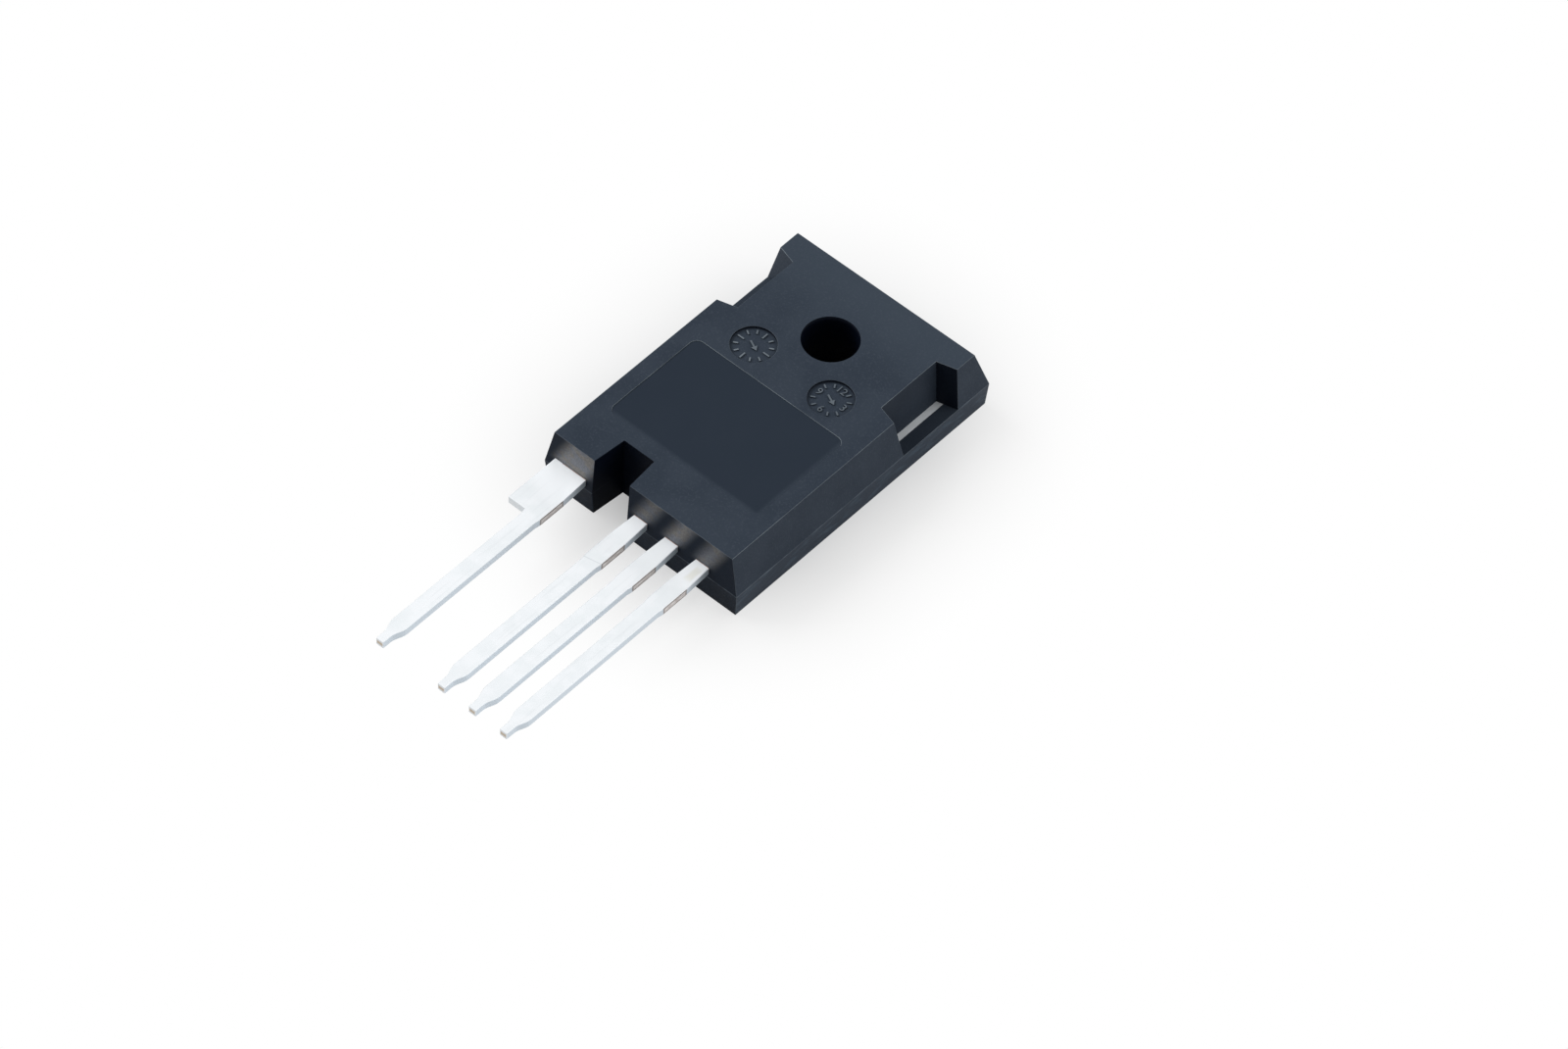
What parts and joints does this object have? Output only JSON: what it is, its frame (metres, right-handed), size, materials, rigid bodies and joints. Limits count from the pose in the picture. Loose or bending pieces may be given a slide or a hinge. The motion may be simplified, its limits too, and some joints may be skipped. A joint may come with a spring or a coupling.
{
  "type": "power transistor",
  "caption": "Flat moulded power transistor with a row of flat leads, a screw hole and a bare copper pad on its back for bolting to a heat sink.",
  "frame": {"origin": "centre of the screw hole, in the plane of the back of the package (the bare copper pad)", "axes": "+Z out of the front face, +Y towards the tab end, so the leads point along -Y; +X from the drain lead's side to the gate lead's side"},
  "size_m": [0.0158, 0.0412, 0.005],
  "materials": {
    "epoxy": "fine matte moulded epoxy",
    "plated_copper": "matte tin plating on stamped copper",
    "solder": "dull soft solder",
    "silicon": "polished silicon",
    "wire": "drawn bright"
  },
  "bodies": {
    "root": {"mold_body": "epoxy", "drain_tab_and_lead": "plated_copper", "source_lead": "plated_copper", "driver_source_lead": "plated_copper", "gate_lead": "plated_copper", "die_attach_solder": "solder", "chip": "silicon", "source_wire_1": "wire", "source_wire_2": "wire", "source_wire_3": "wire", "source_wire_4": "wire", "driver_source_wire": "wire", "gate_wire": "wire"}
  },
  "joints": []
}
